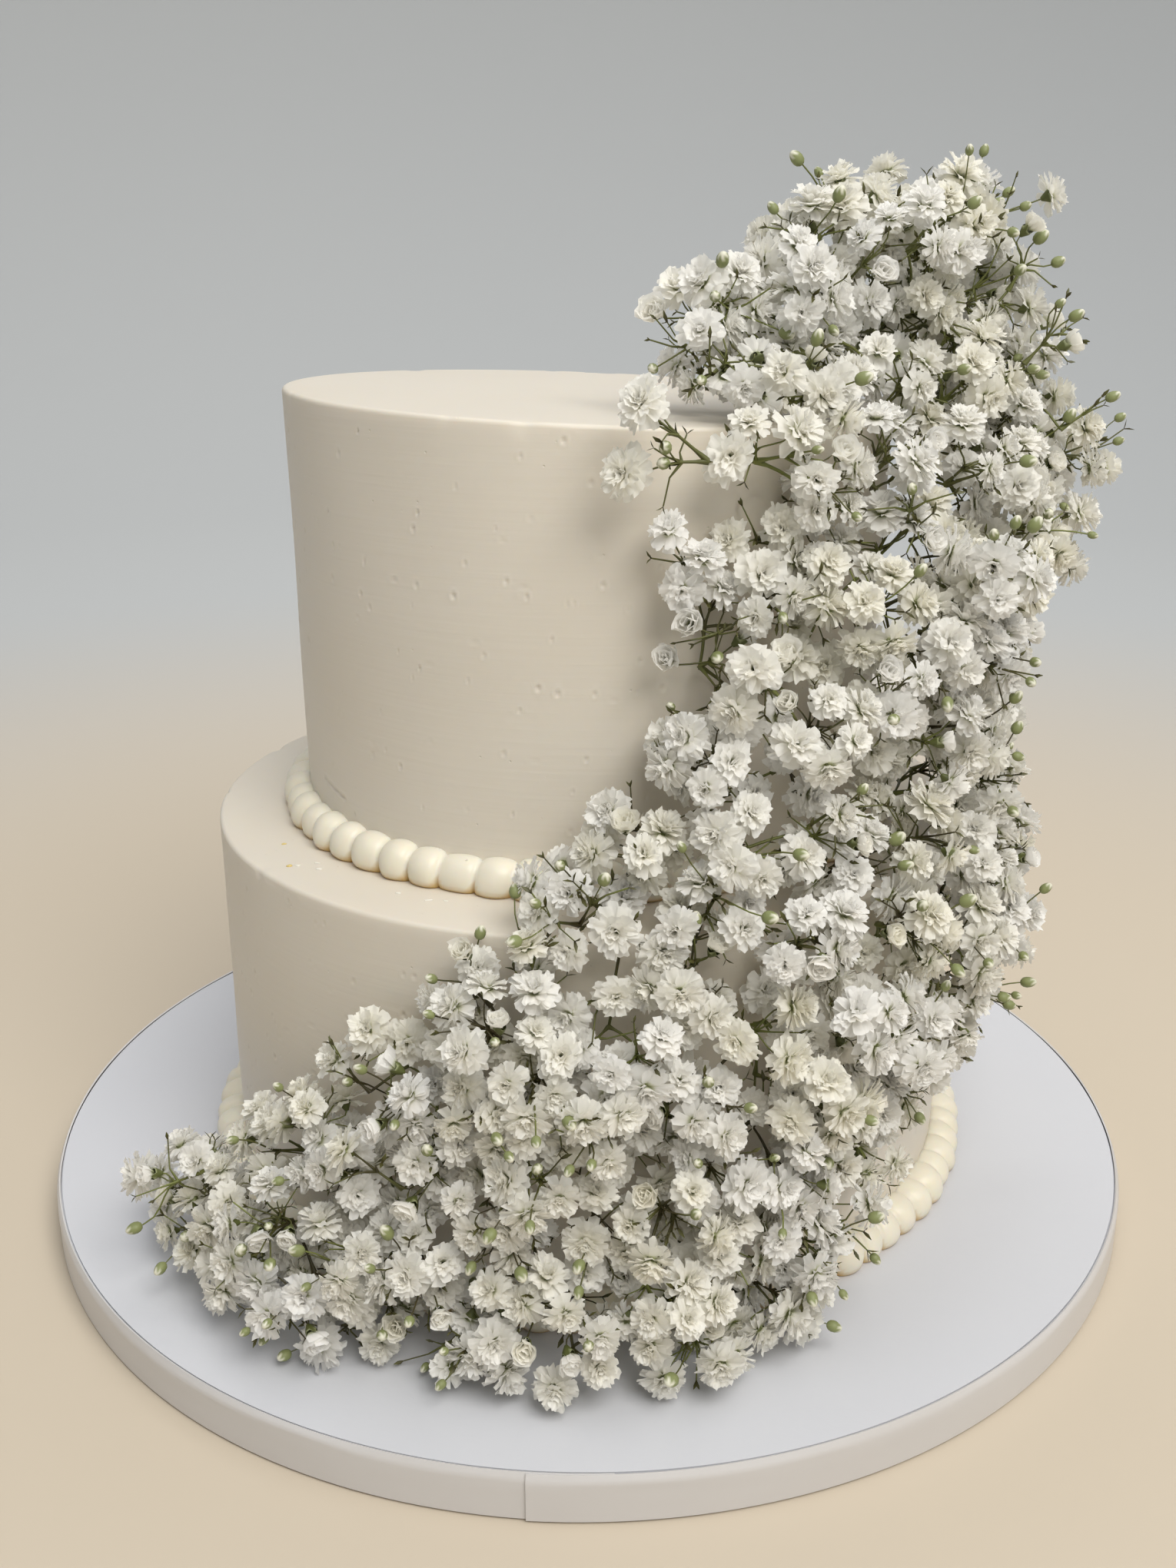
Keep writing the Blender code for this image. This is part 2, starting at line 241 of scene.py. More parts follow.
buildBoard(drumBoard)
print("board and band done")


# The icing: smooth ivory buttercream on the tiers, and pearls of it piped round their feet

tierIcing = {
    "color": "#E0D9CC",
    "shadeColor": "#DCD3C3",
    "roughness": 0.46,  # butter and sugar scraped smooth: satin, with light going a little way in
    "sink": 0.18,
    "sinkDepth": 3.0,  # mm
    "pitSpacing": 5.0,  # mm between the finest air bubbles in the icing
    "pitWidth": 0.7,  # mm
    "pitDepth": 0.12,  # mm
    "scrapeGap": 1.4,  # mm between the lines that the scraper left
    "scrapeLength": 45.0,  # mm
    "scrapeDepth": 0.06,  # mm
    "cloudSize": 40.0,  # mm across its faint changes of tint
}
pipedIcing = {
    "footShadowColor": "#C99F45",  # an amber line of painted contact shadow at the pearls' foot
    "color": "#EAE5D7",
    "shadeColor": "#E9E1CB",
    "roughness": 0.4,
    "sink": 0.45,
    "sinkDepth": 4.0,
    "pitSpacing": 7.5,
    "pitWidth": 0.9,
    "pitDepth": 0.35,
    "scrapeGap": 2.5,
    "scrapeLength": 5.0,
    "scrapeDepth": 0.05,
    "cloudSize": 40.0,
}


def makeIcing(name, look):
    material = newMaterial(name)
    place = addNode(material, "TexCoord").outputs["Object"]
    color = cloudedTint(material, place, look, 3.0)
    # the pearls' foot gets a painted amber contact shadow, mixed in by their foot attribute
    if "footShadowColor" in look:
        foot = addNode(material, "Attribute", attribute_name="foot").outputs["Fac"]
        tints = {0: foot, 6: color, 7: hexColor(look["footShadowColor"])}
        color = addNode(material, "Mix", tints, data_type="RGBA").outputs[2]
    # Scraper lines are level, so their noise is long along the tier and short upwards
    flat, upright = 1000 / look["scrapeLength"], 1000 / look["scrapeGap"]
    stretched = addNode(material, "Mapping", {"Vector": place, "Scale": (flat, flat, upright)})
    lines = addNode(material, "TexNoise", {"Vector": stretched.outputs[0], "Scale": 1.0, "Detail": 2.0})
    scraped = addNode(material, "Bump", {"Height": lines.outputs[0], "Distance": look["scrapeDepth"] * mm})
    # Bubbles are spheres scattered through the icing, cut open where they meet its face
    bubbles = addNode(material, "TexVoronoi", {"Vector": place, "Scale": 1000 / look["pitSpacing"]})
    pits = addNode(
        material, "MapRange",
        {"Value": bubbles.outputs["Distance"], "From Max": look["pitWidth"] / 2 / look["pitSpacing"]},
        interpolation_type="SMOOTHSTEP",
    )
    pitted = addNode(
        material, "Bump",
        {"Height": pits.outputs[0], "Distance": look["pitDepth"] * mm, "Normal": scraped.outputs[0]},
    )
    shader = addNode(
        material, "BsdfPrincipled",
        {
            "Base Color": color, "Roughness": look["roughness"],
            "Subsurface Weight": look["sink"], "Subsurface Scale": look["sinkDepth"] * mm,
            "Subsurface Radius": (1.0, 0.72, 0.38), "Normal": pitted.outputs[0],
        },
    )
    addNode(material, "OutputMaterial", {"Surface": shader.outputs[0]})
    return material


upperTier = {
    "footRadius": 76.4 * mm,
    "topSlope": 0.038,  # the top falls to the right
    "topHeight": 218.5 * mm,
    "scratches": [((-61.1, 125.8), (-52.3, 123.7))],  # from and to, as (azimuth in degrees, height in mm)
}
tierShape = {
    "footGap": 0.3 * mm,  # keeps its foot off the face below
    "steps": 360,
    "rowHeight": 2.4 * mm,
    "rimRounding": 1.1 * mm,
    "footInset": 0.4 * mm,
    "wave": 0.4 * mm,  # how far the scraped sides wander
    "waveLength": 34 * mm,
    "nicks": 13,
    "nickWidth": (1.2 * mm, 3.6 * mm),
    "nickDepth": (0.25 * mm, 0.8 * mm),
    "pitArea": 150 * mm * mm,  # one air bubble in so much of the side
    "pitWidth": (0.32 * mm, 0.68 * mm),  # half of it
    "pitDepth": (0.22 * mm, 0.5 * mm),
    "pitHeights": (0.04, 0.97),  # shares of the tier's height
    "drawnOut": 0.4,  # this share of the pits is drawn out sideways by the scraper
    "drawnLength": (1.8, 4.5),
    "pitReach": 3.0 * mm,
    "scratchPits": (24, 0.5 * mm, 0.2 * mm, 1.6),  # a scratch is so many pits: width, depth, length
}


def pressPits(bm, rng, radius, foot, top, scratches):  # air bubbles that the scraper cut open
    look = tierShape
    count = round(fullTurn * radius * (top - foot) / look["pitArea"])
    pits = []
    for start, end in scratches:
        steps, *pit = look["scratchPits"]
        for azimuth, height in zip(between(start[0], end[0], steps), between(start[1], end[1], steps)):
            pits.append((fromAxis(azimuth, radius / mm, height), *pit))
    low, high = look["pitHeights"]
    for _ in range(count):
        azimuth, share = rng.uniform(0, fullTurn), low + (high - low) * rng.random() ** 0.8
        place = aroundCake(radius, azimuth, foot + (top - foot) * share)
        width, depth, long = rng.uniform(*look["pitWidth"]), rng.uniform(*look["pitDepth"]), 1.0
        if rng.random() < look["drawnOut"]:
            long, width, depth = rng.uniform(*look["drawnLength"]), width * 0.6, depth * 0.5
        pits.append((place, width, depth, long))
    tree = KDTree(len(pits))
    for index, pit in enumerate(pits):
        tree.insert(pit[0], index)
    tree.balance()
    near = [face for face in bm.faces if tree.find(face.calc_center_median())[2] < 0.9 * look["pitReach"]]
    edges = list(dict.fromkeys(edge for face in near for edge in face.edges))  # each once, in their order
    bmesh.ops.subdivide_edges(bm, edges=edges, cuts=3, use_grid_fill=True)
    for vertex in bm.verts:
        outward = Vector((vertex.co.x, vertex.co.y, 0)).normalized()
        along = Vector((-outward.y, outward.x, 0))
        press = 0.0
        for spot, index, away in tree.find_range(vertex.co, look["pitReach"]):
            _, width, depth, long = pits[index]
            offset = vertex.co - spot
            away = hypot(offset.dot(along) / (width * long), offset.z / width)
            press += depth * (exp(-1.6 * away * away) - 0.22 * exp(-5 * (away - 1.7) ** 2))
        vertex.co -= outward * press


def buildTier(name, node, footRadius, topRadius, foot, top, slope, seed, icing, scratches=()):
    look, rng = tierShape, random.Random(seed)
    rounding = look["rimRounding"]
    rows = round((top - foot) / look["rowHeight"])
    inset = look["footInset"]
    points = [(0, foot), (footRadius * 0.5, foot), (footRadius - inset, foot)]
    for share in between(0, 1, rows):
        height = foot + inset + (top - rounding - foot - inset) * share
        points.append((footRadius + (topRadius - footRadius) * share, height))
    for angle in between(0, pi / 2, 4)[1:]:
        out, up = rounding * cos(angle), rounding * sin(angle)
        points.append((topRadius - rounding + out, top - rounding + up))
    points += [(radius, top) for radius in between(topRadius - rounding, 0, 26)[1:]]
    bm = turnProfile(points, look["steps"])
    pressPits(bm, rng, topRadius, foot, top, scratches)
    nicks = [
        (rng.uniform(0, fullTurn), rng.uniform(*look["nickWidth"]), rng.uniform(*look["nickDepth"]))
        for _ in range(look["nicks"])
    ]
    for vertex in bm.verts:
        radius = hypot(vertex.co.x, vertex.co.y)
        outward = Vector((vertex.co.x, vertex.co.y, 0)) / max(radius, 1e-6)
        rise = (vertex.co.z - foot) / (top - foot)
        wander = noise.noise(vertex.co / look["waveLength"] + Vector((0, 0, seed))) * look["wave"]
        if radius > footRadius - 3 * mm and rise > 0.02:
            vertex.co += outward * wander
        elif rise > 0.9:
            vertex.co.z += 0.5 * wander
        if radius > topRadius - 3 * mm and rise > 0.9:
            azimuth = atan2(vertex.co.y, vertex.co.x)
            for where, width, depth in nicks:
                apart = abs((azimuth - where + pi) % fullTurn - pi) * radius / width
                below = abs(top - vertex.co.z) / (1.3 * width)
                dent = depth * exp(-2 * (apart * apart + below * below))
                vertex.co -= outward * dent
                vertex.co.z -= 0.5 * dent
        vertex.co.z -= slope * vertex.co.x * max(0.0, rise)
    addPiece(name, bm, icing, [node])


lowerPearls = {"count": 81, "depth": 9.6 * mm, "height": 9.2 * mm, "seed": 88}
upperPearls = {"count": 56, "depth": 8.4 * mm, "height": 9.2 * mm, "seed": 63}
pearlShape = {
    "steps": 12,  # round each pearl
    "sink": 0.7 * mm,  # the pearls stick to the tier, without a gap behind them
    "crease": 0.66,  # its size in the crease to the next one, as a share of its full size
    "unevenness": 0.14,
    "lean": 0.32,  # how far its crease may lean, as a share of its width
    "dent": 0.28 * mm,
    "footShadowHeight": 0.15,  # height of the painted amber contact shadow, as a share of the pearl's
    "section": [  # (share of the depth, share of the height), from the foot by the front to the tier
        (0.0, 0.0), (0.45, 0.0), (0.76, 0.0), (0.88, 0.05), (0.95, 0.14), (0.99, 0.27), (1.0, 0.41),
        (0.97, 0.56), (0.9, 0.71), (0.78, 0.85), (0.6, 0.95), (0.38, 1.0), (0.18, 0.985), (0.0, 0.93),
    ],
}


def buildPearls(name, node, tierRadius, floor, border, icing):
    look, rng, count = pearlShape, random.Random(border["seed"]), border["count"]
    inner, foot, steps = tierRadius - look["sink"], floor - look["sink"] / 3, count * look["steps"]
    depth, height = border["depth"], border["height"]
    points = [(inner + out * depth, foot + rise * height) for out, rise in look["section"]]
    bm = turnProfile(points + points[:1], steps)
    # the foot attribute holds the strength of the painted contact shadow at the pearls' foot
    paintedFootShade = bm.verts.layers.float.new("foot")
    shifts = [rng.uniform(-0.5, 0.5) * look["unevenness"] for _ in range(count)]
    leans = [rng.uniform(-0.5, 0.5) * look["lean"] for _ in range(count)]
    sizes = [1 - rng.random() * look["unevenness"] for _ in range(count)]
    stoops = [rng.uniform(-0.1, 0.12) for _ in range(count)]  # the tip drags to one side as the bag lifts
    for vertex in bm.verts:
        azimuth = atan2(vertex.co.x, -vertex.co.y) % fullTurn
        pearl, part = divmod(round(azimuth / fullTurn * steps) % steps, look["steps"])
        following, share = (pearl + 1) % count, part / look["steps"]
        rise = (vertex.co.z - foot) / height
        shift = shifts[pearl] * (1 - share) + shifts[following] * share
        lean = leans[pearl] * (1 - share) + leans[following] * share
        swell = look["crease"] + (sizes[pearl] - look["crease"]) * sin(share * pi) ** 0.55
        shadeReach = look["footShadowHeight"] * (1 + 2.4 * (1 - sin(share * pi)) ** 3)  # the painted shadow is widest in the creases
        vertex[paintedFootShade] = max(0.0, 1 - max(0.0, rise) / shadeReach) ** 0.5
        turn = (shift + lean * (rise - 0.4) + stoops[pearl] * sin(share * pi) * rise) * fullTurn / count
        out = (hypot(vertex.co.x, vertex.co.y) - inner) * swell
        upward = rise * height * (0.35 + 0.65 * swell)
        vertex.co = aroundCake(inner + out, azimuth + turn, foot + upward)
        if out > 1.5 * mm and rise > 0.05:
            dent = noise.noise(vertex.co / (4.2 * mm)) * look["dent"]
            vertex.co += Vector((vertex.co.x, vertex.co.y, 0)).normalized() * dent
    bmesh.ops.recalc_face_normals(bm, faces=bm.faces)
    addPiece(name, bm, icing, [node])


smoothButtercream = makeIcing("scrapedIvoryButtercream", tierIcing)
pipedButtercream = makeIcing("pipedIvoryButtercream", pipedIcing)
buildTier(
    "lower_tier_icing", "lower_tier", lowerRadius, lowerRadius, boardTop + tierShape["footGap"],
    ledgeHeight, 0.0, 3, smoothButtercream,
)
upperFoot = upperTier["footRadius"]
buildTier(
    "upper_tier_icing", "upper_tier", upperFoot, rimRadius, ledgeHeight + tierShape["footGap"],
    upperTier["topHeight"], upperTier["topSlope"], 8, smoothButtercream, upperTier["scratches"],
)
buildPearls("lower_pearls", "lower_border", lowerRadius, boardTop, lowerPearls, pipedButtercream)
buildPearls("upper_pearls", "upper_border", upperFoot, ledgeHeight, upperPearls, pipedButtercream)


cakeCrumbs = {
    "places": [(-60, 89), (-51, 94)],  # azimuth in degrees, distance from the axis in mm
    "size": (0.4 * mm, 0.6 * mm),  # half of it
    "length": (1.0, 1.5),  # times its width
    "rise": 0.6,
    "color": "#D9C07A",
    "seed": 5,
}
icingFlecks = {
    "places": [(-49.4, 87.7), (-50.4, 92.2), (-47, 89.5), (-30.4, 87.9), (-24.8, 88.1), (-22.3, 86.9)],
    "size": (0.3 * mm, 0.5 * mm),
    "length": (1.8, 3.4),
    "rise": 0.45,
    "color": "#F0EADA",
    "seed": 9,
}


def buildSpecks(name, material, look):  # crumbs of cake and smears of icing on the ledge
    rng = random.Random(look["seed"])
    bm = bmesh.new()
    for azimuth, distance in look["places"]:
        size = rng.uniform(*look["size"])
        shape = Matrix.Diagonal((size * rng.uniform(*look["length"]), size, size * look["rise"], 1.0))
        spot = Matrix.Translation(fromAxis(azimuth, distance, ledgeHeight / mm))
        turn = Matrix.Rotation(rng.uniform(-0.5, 0.5), 4, "Z")
        made = bmesh.ops.create_icosphere(bm, subdivisions=2, radius=1.0, matrix=spot @ turn @ shape)
        for vertex in made["verts"]:
            vertex.co += noise.noise_vector(vertex.co / (0.5 * mm)) * 0.25 * size
    icing = makeIcing(material, dict(tierIcing, color=look["color"], shadeColor=look["color"]))
    addPiece(name, bm, icing)


buildSpecks("cake_crumbs", "yellowCakeCrumb", cakeCrumbs)
buildSpecks("icing_flecks", "paleIcingFleck", icingFlecks)
print("icing done")


# The flowers: double baby's breath, whose blooms are layers of thin crinkled petals in a green cup

petalLook = {
    "color": "#FFFEFB",
    "creamColor": "#FEFCF3",
    "throatColor": "#D6D9B2",  # yellow-green deep in the flower
    "throat": (0.05, 0.45),  # the shares of a petal's length over which it turns white
    "roughness": 0.6,
    "throughLight": 0.45,  # a petal is thin enough to glow with the light behind it
}


def makePetals(look):
    material = newMaterial("babysBreathPetal")
    tip = addNode(material, "Attribute", attribute_name="tip").outputs["Fac"]
    tint = addNode(material, "Attribute", attribute_name="tint").outputs["Fac"]
    whites = {0: tint, 6: hexColor(look["color"]), 7: hexColor(look["creamColor"])}
    white = addNode(material, "Mix", whites, data_type="RGBA").outputs[2]
    low, high = look["throat"]
    rise = {"Value": tip, "From Min": low, "From Max": high}
    risen = addNode(material, "MapRange", rise, interpolation_type="SMOOTHSTEP").outputs[0]
    tints = {0: risen, 6: hexColor(look["throatColor"]), 7: white}
    color = addNode(material, "Mix", tints, data_type="RGBA").outputs[2]
    front = addNode(material, "BsdfPrincipled", {"Base Color": color, "Roughness": look["roughness"]})
    through = addNode(material, "BsdfTranslucent", {"Color": color})
    shaders = {0: look["throughLight"], 1: front.outputs[0], 2: through.outputs[0]}
    shader = addNode(material, "MixShader", shaders)
    addNode(material, "OutputMaterial", {"Surface": shader.outputs[0]})
    return material


greenLook = {
    "stemColor": "#40391A",
    "shootColor": "#737A3C",
    "cupColor": "#5A6031",
    "cupEdgeColor": "#BCC297",
    "budGreenColor": "#7B834C",
    "budColor": "#DEDCC8",
    "roughness": 0.5,
    "freshHeights": (0.15, 0.25),  # the stems are greener towards the crown, by so much
    "fresh": 0.65,
    "patchSize": 22.0,  # mm along a stem between its brown and green parts
    "patches": (0.4, 0.66),
}


def makeGreen(name, dark, pale, attribute, look):
    material = newMaterial(name)
    if attribute:
        share = addNode(material, "Attribute", attribute_name=attribute).outputs["Fac"]
    else:
        place = addNode(material, "TexCoord").outputs["Object"]
        patch = {"Vector": place, "Scale": 1000 / look["patchSize"], "Detail": 2.0}
        cloud = addNode(material, "TexNoise", patch).outputs["Fac"]
        height = addNode(material, "SeparateXYZ", {0: place}).outputs["Z"]
        ways = ((cloud, look["patches"], 1.0), (height, look["freshHeights"], look["fresh"]))
        both = []
        for value, (low, high), most in ways:
            rise = {"Value": value, "From Min": low, "From Max": high, "To Max": most}
            both.append(addNode(material, "MapRange", rise).outputs[0])
        share = addNode(material, "Math", dict(enumerate(both)), operation="MAXIMUM").outputs[0]
    tints = {0: share, 6: hexColor(look[dark]), 7: hexColor(look[pale])}
    color = addNode(material, "Mix", tints, data_type="RGBA").outputs[2]
    shader = addNode(material, "BsdfPrincipled", {"Base Color": color, "Roughness": look["roughness"]})
    addNode(material, "OutputMaterial", {"Surface": shader.outputs[0]})
    return material


# Each whorl of petals: how many, length and width in mm, tilt and how far they bend back in degrees
bloomKinds = {
    "rosette": {
        "whorls": [
            (9, 5.3, 2.7, -34, -24), (9, 5.7, 2.8, -10, -30), (9, 5.8, 2.7, 12, -40),
            (9, 5.8, 2.5, 32, -50), (8, 5.8, 2.4, 50, -60), (6, 5.7, 2.2, 66, -68),
            (5, 5.3, 2.0, 80, -52), (4, 4.4, 2.3, 78, 44),
        ],
        "jitter": 9, "ruffle": 0.3 * mm, "crumple": 0.65 * mm, "seed": 11,
    },
    "pompom": {
        "whorls": [
            (8, 5.1, 2.5, -48, -22), (9, 5.4, 2.6, -26, -30), (9, 5.7, 2.6, -4, -38),
            (9, 5.9, 2.5, 18, -48), (8, 6.0, 2.4, 38, -58), (7, 6.0, 2.2, 56, -68),
            (5, 5.7, 2.0, 74, -58), (4, 4.9, 2.3, 78, 40),
        ],
        "jitter": 12, "ruffle": 0.36 * mm, "crumple": 0.8 * mm, "seed": 23,
    },
    "frilled": {
        "whorls": [
            (8, 5.7, 2.8, -26, -22), (9, 5.9, 2.8, -2, -32), (9, 5.9, 2.6, 20, -44), (9, 5.8, 2.4, 40, -54),
            (8, 5.6, 2.3, 58, -62), (6, 5.2, 2.1, 74, -50), (5, 4.3, 2.1, 80, 34),
        ],
        "jitter": 14, "ruffle": 0.42 * mm, "crumple": 0.85 * mm, "seed": 53,
    },
    "loose": {
        "whorls": [
            (8, 5.8, 3.0, -16, -22), (8, 5.8, 2.9, 10, -32), (8, 5.5, 2.7, 32, -40), (7, 5.1, 2.4, 52, -42),
            (6, 4.5, 2.2, 68, -30), (5, 3.8, 2.0, 80, 30),
        ],
        "jitter": 12, "ruffle": 0.36 * mm, "crumple": 0.7 * mm, "seed": 37,
    },
    "cup": {
        "whorls": [
            (5, 4.9, 4.6, 56, 50), (5, 4.9, 4.0, 66, 52), (5, 4.5, 3.2, 78, 44), (4, 4.2, 2.4, 86, 24),
        ],
        "jitter": 6, "ruffle": 0.12 * mm, "crumple": 0.25 * mm, "seed": 41,
    },
}
variants = 3  # of each kind of bloom
petalShape = {
    "across": 4,
    "along": 2,
    "foot": 0.34,  # its width at the foot, as a share of its widest
    "notch": 0.05,  # how deep its tip is notched, as a share of its length
    "corner": 0.08,  # how far the corners of its tip fall back
    "skew": 0.07,
    "channel": 0.1,  # how far its sides fold up, as a share of its width
    "root": 0.35 * mm,  # where it starts, from the bloom's axis
}


def addPetal(bm, rng, length, width, tilt, bend, turn, root, ruffle):
    look = petalShape
    tip = bm.verts.layers.float["tip"]
    made = bmesh.ops.create_grid(bm, x_segments=look["across"], y_segments=look["along"], size=1.0)["verts"]
    side = Matrix.Rotation(turn, 3, "Z")
    start = tilt - bend / 2
    phase, notch = rng.uniform(0, fullTurn), look["notch"] * rng.uniform(0.0, 2.0)
    skew = rng.uniform(-1, 1) * look["skew"]
    for vertex in made:
        across, along = vertex.co.x, ((vertex.co.y + 1) / 2) ** 0.7
        vertex[tip] = along
        reach = along * (1 - look["corner"] * across * across + skew * across)
        if along > 0.9:
            reach += rng.uniform(-0.06, 0.05) - notch * max(0.0, 1 - 2 * abs(across))
        here = start + bend * reach
        out = length * (sin(here) - sin(start)) / bend
        up = length * (cos(start) - cos(here)) / bend
        blade = look["foot"] + (1 - look["foot"]) * sin(min(along / 0.85, 1.0) * pi / 2)
        fold = width * look["channel"] * across * across * along
        fold += ruffle * sin(across * 4.4 + phase) * along * along
        place = Vector((root + out - fold * sin(here), across * width / 2 * blade, up + fold * cos(here)))
        vertex.co = side @ place


def makeBloom(name, kind, variant):
    rng = random.Random(kind["seed"] + variant)
    bm = newShape("tip", "tint")
    for number, (count, length, width, tilt, bend) in enumerate(kind["whorls"]):
        for petal in range(count):
            turn = (petal + rng.uniform(-0.25, 0.25) + 0.5 * number) * fullTurn / count
            tilted = radians(tilt + rng.uniform(-1, 1) * kind["jitter"])
            bent = radians(bend + rng.uniform(-1, 1) * kind["jitter"] + 0.5)
            grown = length * mm * rng.uniform(0.86, 1.06)
            broad = width * mm * rng.uniform(0.85, 1.15)
            addPetal(bm, rng, grown, broad, tilted, bent, turn, petalShape["root"], kind["ruffle"])
    for vertex in bm.verts:
        crumpled = noise.noise_vector(vertex.co / (2.6 * mm) + Vector((kind["seed"], variant * 3.1, 0)))
        vertex.co += crumpled * kind["crumple"] * min(1.0, vertex.co.length / (4 * mm))
    return finishMesh(name, bm)


# A closed bud: pale petals held by five pointed green sepals. And the cup under an open bloom
budShape = {"width": 3.6 * mm, "length": 4.4 * mm}
cupShape = {"width": 3.0 * mm, "length": 3.2 * mm, "foot": 0.9 * mm}


def makeBud(name, shape):
    bm = newShape("pale", "tint")
    pale = bm.verts.layers.float["pale"]
    bmesh.ops.create_uvsphere(bm, u_segments=10, v_segments=7, radius=1.0)
    for vertex in bm.verts:
        rise = (vertex.co.z + 1) / 2
        spoke = round(atan2(vertex.co.y, vertex.co.x) / fullTurn * 10) % 2
        sepal = 0.94 if spoke else 0.7
        vertex[pale] = 1.0 if rise > sepal else 0.06
        narrow = 1 - 0.25 * rise
        vertex.co.x *= shape["width"] / 2 * narrow
        vertex.co.y *= shape["width"] / 2 * narrow
        vertex.co.z = shape["length"] * rise
    return finishMesh(name, bm)


def makeCup(name, shape):
    bm = newShape("pale", "tint")
    pale = bm.verts.layers.float["pale"]
    bmesh.ops.create_cone(
        bm, cap_ends=False, segments=10, radius1=shape["foot"] / 2, radius2=shape["width"] / 2,
        depth=shape["length"],
    )
    upright = [edge for edge in bm.edges if abs(edge.verts[0].co.z - edge.verts[1].co.z) > 1e-6]
    bmesh.ops.subdivide_edges(bm, edges=upright, cuts=1)
    for vertex in bm.verts:
        spoke = round(atan2(vertex.co.y, vertex.co.x) / fullTurn * 10) % 2
        rise = vertex.co.z / shape["length"] + 0.5
        vertex[pale] = 0.75 if rise > 0.8 and not spoke else 0.0
        if 0.2 < rise < 0.8:
            vertex.co.x *= 1.35
            vertex.co.y *= 1.35
        if rise > 0.8 and not spoke:
            vertex.co.z -= 0.35 * shape["length"]
        vertex.co.z -= 0.1 * shape["length"]
    return finishMesh(name, bm)


# Two small dry leaves, at each fork of a stem and at the end of each bare twig
bractShape = {"length": 2.2 * mm, "width": 0.8 * mm, "tilt": radians(50)}


def makeBract(name, shape):
    bm = newShape("pale", "tint")
    pale = bm.verts.layers.float["pale"]
    for turn in (0, pi):
        side = Matrix.Rotation(turn, 3, "Z") @ Matrix.Rotation(-shape["tilt"], 3, "Y")
        for vertex in bmesh.ops.create_grid(bm, x_segments=2, y_segments=2, size=1.0)["verts"]:
            across, along = vertex.co.x, (vertex.co.y + 1) / 2
            vertex[pale] = 0.4 * along
            breadth = shape["width"] / 2 * max(0.08, sin(pi * (0.15 + 0.8 * along)))
            fold = 0.5 * abs(across) * breadth
            vertex.co = side @ Vector((along * shape["length"], across * breadth, fold))
    return finishMesh(name, bm)


# The cascade, in rows close to those of its solid core: height, then azimuths, distances from the cake's
# axis and the reach of the flowers, each on the left and the right, in mm and degrees
cascade = {
    "rows": [
        (27, (-56, 19), (126, 124), (16, 15)),
        (51, (-39, 33), (119, 112), (18, 17)),
        (76, (-22, 62), (117, 107), (18, 17)),
        (97, (-13, 80), (113, 107), (18, 18)),
        (122, (1, 82), (102, 102), (18, 19)),
        (140, (12, 77), (96, 98), (17, 19)),
        (162, (22, 81), (93, 102), (17, 20)),
        (186, (21, 87), (91, 107), (18, 24)),
        (212, (30, 92), (74, 108), (19, 28)),
        (235, (44, 98), (52, 98), (22, 25)),
        (254, (58, 90), (60, 94), (21, 22)),
    ],
    "coreDepth": 3.0 * mm,  # the leafy core ends this far inside the flowers' reach
    "lumps": 2.0 * mm,
    "sides": 14,
    "capRise": 0.72,
    "capShare": 0.62,
    "seed": 7,
}


def makeCore(look):  # the guide that the flowers are set out on
    rng = random.Random(look["seed"])
    first, last = look["rows"][0], look["rows"][-1]
    ends = []
    for (height, azimuths, distances, reaches), way in ((first, -1), (last, 1)):
        rise = look["capRise"] * min(reaches) * way
        ends.append((height + rise, azimuths, distances, [reach * look["capShare"] for reach in reaches]))
    bm = bmesh.new()
    loops = []
    for height, azimuths, distances, reaches in [ends[0], *look["rows"], ends[1]]:
        ring = []
        for side in range(look["sides"]):
            phase = fullTurn * side / look["sides"]
            share = 0.5 + 0.5 * sin(phase)
            azimuth, distance, reach = (a + (b - a) * share for a, b in (azimuths, distances, reaches))
            outward, along = aroundCake(1, radians(azimuth), 0), aroundCake(1, radians(azimuth) + pi / 2, 0)
            size = reach * mm - look["coreDepth"] + rng.uniform(-1, 1) * look["lumps"]
            middle = outward * distance * mm + Vector((0, 0, height * mm))
            ring.append(bm.verts.new(middle + (outward * cos(phase) + along * sin(phase)) * size))
        loops.append([bm.edges.new(pair) for pair in zip(ring, ring[1:] + ring[:1])])
    for below, above in zip(loops, loops[1:]):
        bmesh.ops.bridge_loops(bm, edges=below + above)
    bmesh.ops.holes_fill(bm, edges=bm.edges, sides=0)
    bmesh.ops.triangulate(bm, faces=bm.faces)
    bmesh.ops.recalc_face_normals(bm, faces=bm.faces)
    return bm


def topAt(x):
    return upperTier["topHeight"] - upperTier["topSlope"] * x


def inCake(place, margin):
    radius = hypot(place.x, place.y)
    if place.z < boardTop + margin and radius < boardRadius + margin:
        return True
    if place.z < ledgeHeight + margin and radius < lowerRadius + margin:
        return True
    return place.z < topAt(place.x) + margin and radius < rimRadius + margin


class Spread:  # remembers places, and tells whether a new one is far enough from all of them
    def __init__(self, cell):
        self.cell = cell
        self.places = {}

    def key(self, place):
        return tuple(int(c // self.cell) for c in place)

    def isClear(self, place, apart):
        x, y, z = self.key(place)
        near = range(-1, 2)
        found = (self.places.get((x + i, y + j, z + k), ()) for i in near for j in near for k in near)
        return all((place - other).length > apart for cell in found for other in cell)

    def add(self, place):
        self.places.setdefault(self.key(place), []).append(place.copy())


